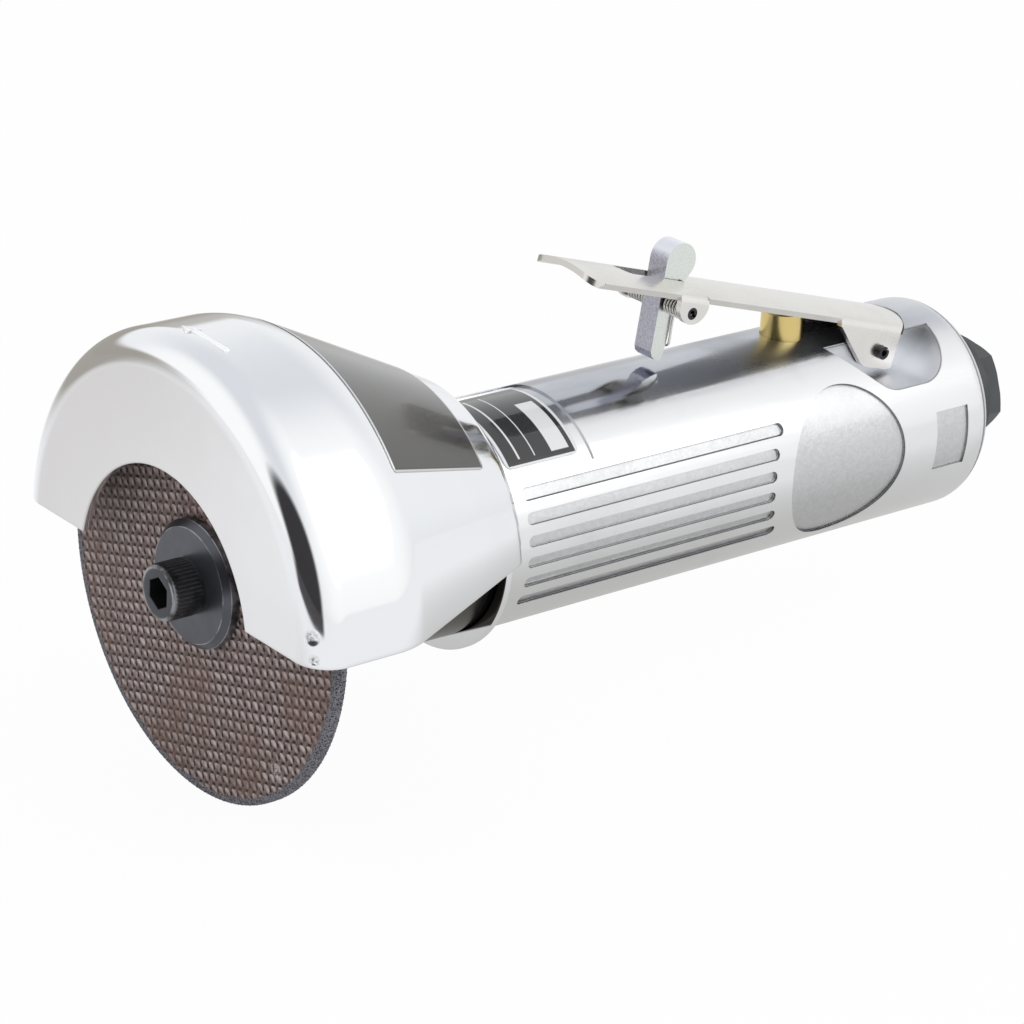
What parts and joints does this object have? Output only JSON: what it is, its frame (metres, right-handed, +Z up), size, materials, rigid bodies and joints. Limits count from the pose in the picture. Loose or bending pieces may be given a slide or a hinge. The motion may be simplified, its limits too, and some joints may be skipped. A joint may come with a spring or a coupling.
{
  "type": "pneumatic cut off tool",
  "caption": "Hand held air powered cut off tool: abrasive wheel in a turnable chromed half guard, round metal body, throttle lever with lock off catch, rear air inlet.",
  "frame": {"origin": "centre of the circle where the air inlet's thread begins, behind its chamfer and 1.2 mm inside the rear end face, on the spindle's axis", "axes": "+X along the spindle's axis from the wheel to the air inlet, +Z up to the side with the throttle lever, +Y to the side away from the camera"},
  "size_m": [0.1886, 0.0868, 0.0816],
  "materials": {
    "housing_aluminium": "satin",
    "guard_chrome": "polished",
    "label_dark": "gloss",
    "nameplate_black": "gloss",
    "nut_steel": "dark oxide",
    "black_steel": "black oxide",
    "plate_iron": "machined",
    "motor_steel": "ground",
    "gasket_fibre": "matt",
    "blade_resin": "matt",
    "bearing_steel": "polished",
    "flange_steel": "dark oxide",
    "abrasive": "rough",
    "lever_steel": "satin",
    "catch_zinc": "satin",
    "pin_steel": "satin",
    "spring_steel": "bright",
    "stem_brass": "satin",
    "black_rubber": "matt",
    "plug_steel": "satin",
    "inlet_steel": "dark oxide",
    "strainer_steel": "satin",
    "muffler_felt": "matt",
    "deflector_dark": "dark anodised"
  },
  "bodies": {
    "housing": {"motor_housing": "housing_aluminium", "nameplate": "nameplate_black", "clamp_nut": "nut_steel", "lock_washer": "black_steel", "front_end_plate": "plate_iron", "motor_cylinder": "motor_steel", "rear_end_plate": "plate_iron", "alignment_pins": "motor_steel", "motor_gasket": "gasket_fibre", "front_bearing_outer_ring": "bearing_steel", "rear_bearing_outer_ring": "bearing_steel", "lever_pin": "black_steel", "valve_plug": "plug_steel", "valve_plug_o_ring": "black_rubber", "valve_spring": "spring_steel", "inlet_bushing": "inlet_steel", "inlet_o_ring": "black_rubber", "inlet_strainer": "strainer_steel", "muffler_ring": "muffler_felt"},
    "guard": {"guard": "guard_chrome", "guard_label": "label_dark"},
    "spindle": {"rotor": "motor_steel", "rotor_blades": "blade_resin", "front_bearing_inner_ring": "bearing_steel", "rear_bearing_inner_ring": "bearing_steel", "inner_flange": "flange_steel", "cutting_wheel": "abrasive", "outer_flange": "flange_steel", "wheel_screw": "black_steel"},
    "front_balls": {"front_bearing_balls": "bearing_steel", "front_bearing_cage": "bearing_steel"},
    "rear_balls": {"rear_bearing_balls": "bearing_steel", "rear_bearing_cage": "bearing_steel"},
    "lever": {"throttle_lever": "lever_steel", "catch_pin": "pin_steel", "catch_spring": "spring_steel"},
    "catch": {"lock_off_catch": "catch_zinc"},
    "valve": {"valve_stem": "stem_brass", "valve_stem_o_ring": "black_rubber", "valve_washer": "black_rubber"},
    "deflector": {"exhaust_deflector": "deflector_dark"}
  },
  "joints": [
    {"name": "spindle_spin", "type": "hinge", "parent": "housing", "child": "spindle", "pos_m": [-0.09, 0, 0], "axis": [1, 0, 0], "continuous": true},
    {"name": "front_balls_orbit", "type": "hinge", "parent": "housing", "child": "front_balls", "pos_m": [-0.1387, 0, 0], "axis": [1, 0, 0], "continuous": true},
    {"name": "rear_balls_orbit", "type": "hinge", "parent": "housing", "child": "rear_balls", "pos_m": [-0.0873, 0, 0], "axis": [1, 0, 0], "continuous": true},
    {"name": "guard_turn", "type": "hinge", "parent": "housing", "child": "guard", "pos_m": [-0.1311, 0, 0], "axis": [1, 0, 0], "continuous": true},
    {"name": "lever_press", "type": "hinge", "parent": "housing", "child": "lever", "pos_m": [-0.0326, 0, 0.0161], "axis": [0, -1, 0], "range_deg": [0, 6], "stiffness_Nm_per_rad": 0.8, "springref_deg": -8.59},
    {"name": "catch_swing", "type": "hinge", "parent": "lever", "child": "catch", "pos_m": [-0.0811, 0, 0.0322], "axis": [0, -1, 0], "range_deg": [0, 90], "stiffness_Nm_per_rad": 0.002, "springref_deg": -22.92, "deforming": ["catch_spring"]},
    {"name": "valve_slide", "type": "slide", "parent": "housing", "child": "valve", "axis": [0, 0, -1], "range_m": [0, 0.002], "deforming": ["valve_spring"]},
    {"name": "deflector_turn", "type": "hinge", "parent": "housing", "child": "deflector", "pos_m": [-0.0088, 0, 0], "axis": [1, 0, 0], "continuous": true}
  ],
  "couplings": [
    {"joint": "front_balls_orbit", "follows": "spindle_spin", "ratio": 0.3678},
    {"joint": "rear_balls_orbit", "follows": "spindle_spin", "ratio": 0.368},
    {"joint": "catch_swing", "follows": "lever_press", "ratio": 15},
    {"joint": "valve_slide", "follows": "lever_press", "m_per_rad": 0.0183}
  ]
}
